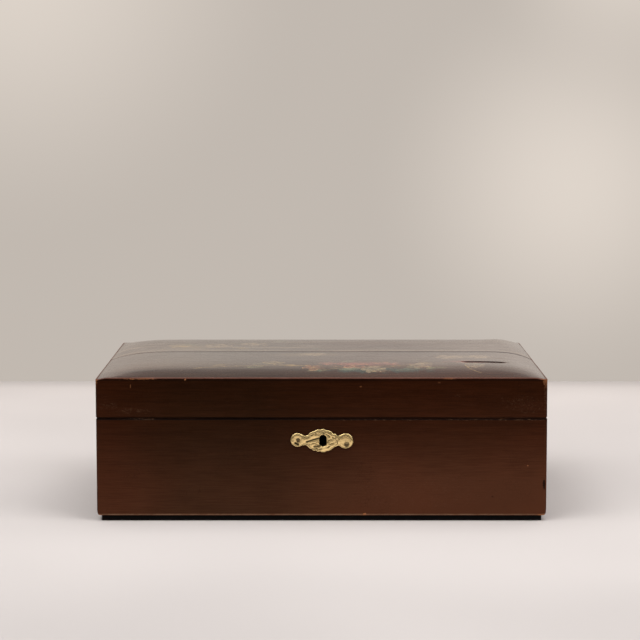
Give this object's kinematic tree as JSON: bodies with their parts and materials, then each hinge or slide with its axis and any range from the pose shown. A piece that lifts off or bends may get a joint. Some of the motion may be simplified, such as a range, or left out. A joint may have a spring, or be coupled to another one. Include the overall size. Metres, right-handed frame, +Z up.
{
  "type": "wooden box",
  "caption": "Dark lacquered wooden box with a hinged cushion-shaped lid, a brass escutcheon and a link-plate lock, for papers and keepsakes.",
  "frame": {"origin": "centre of the underside, midway between the foremost point (the escutcheon's pins) and the rearmost point (the hinges)", "axes": "+Z up, +X along the length to the right as seen from the front, -Y out of the front with the keyhole, +Y towards the hinges"},
  "size_m": [0.33, 0.2294, 0.1125],
  "materials": {
    "lacquered_wood": "gloss dark brown lacquer, worn at the edges",
    "blackened_wood": "matte black stain",
    "dowel_wood": "bare",
    "iron": "dull",
    "hinge_brass": "tarnished",
    "screw_brass": "tarnished",
    "lock_brass": "tarnished",
    "spring_steel": "blued",
    "escutcheon_brass": "aged, bright on its relief"
  },
  "bodies": {
    "case": {"case_front": "lacquered_wood", "case_back": "lacquered_wood", "case_left_end": "lacquered_wood", "case_right_end": "lacquered_wood", "case_bottom": "blackened_wood", "bottom_nails": "iron", "hinge_left_case_leaf": "hinge_brass", "hinge_left_pin": "hinge_brass", "hinge_left_case_screws": "screw_brass", "hinge_right_case_leaf": "hinge_brass", "hinge_right_pin": "hinge_brass", "hinge_right_case_screws": "screw_brass", "lock_plate": "lock_brass", "lock_case": "lock_brass", "bolt_spring": "spring_steel", "lock_plate_screws": "screw_brass", "escutcheon": "escutcheon_brass", "escutcheon_pins": "escutcheon_brass"},
    "lid": {"lid_front": "lacquered_wood", "lid_back": "lacquered_wood", "lid_left_end": "lacquered_wood", "lid_right_end": "lacquered_wood", "lid_top_front_board": "lacquered_wood", "lid_top_rear_board": "lacquered_wood", "lid_top_dowels": "dowel_wood", "lid_joint_dowels": "dowel_wood", "hinge_left_lid_leaf": "hinge_brass", "hinge_right_lid_leaf": "hinge_brass", "hinge_left_lid_screws": "screw_brass", "hinge_right_lid_screws": "screw_brass", "link_plate": "lock_brass", "link_plate_screws": "screw_brass"},
    "bolt": {"lock_bolt": "lock_brass"}
  },
  "joints": [
    {"name": "lid_hinge", "type": "hinge", "parent": "case", "child": "lid", "pos_m": [0, 0.11205, 0.07645], "axis": [-1, 0, 0], "range_deg": [0, 100]},
    {"name": "bolt_slide", "type": "slide", "parent": "case", "child": "bolt", "axis": [1, 0, 0], "range_m": [0, 0.005]}
  ]
}
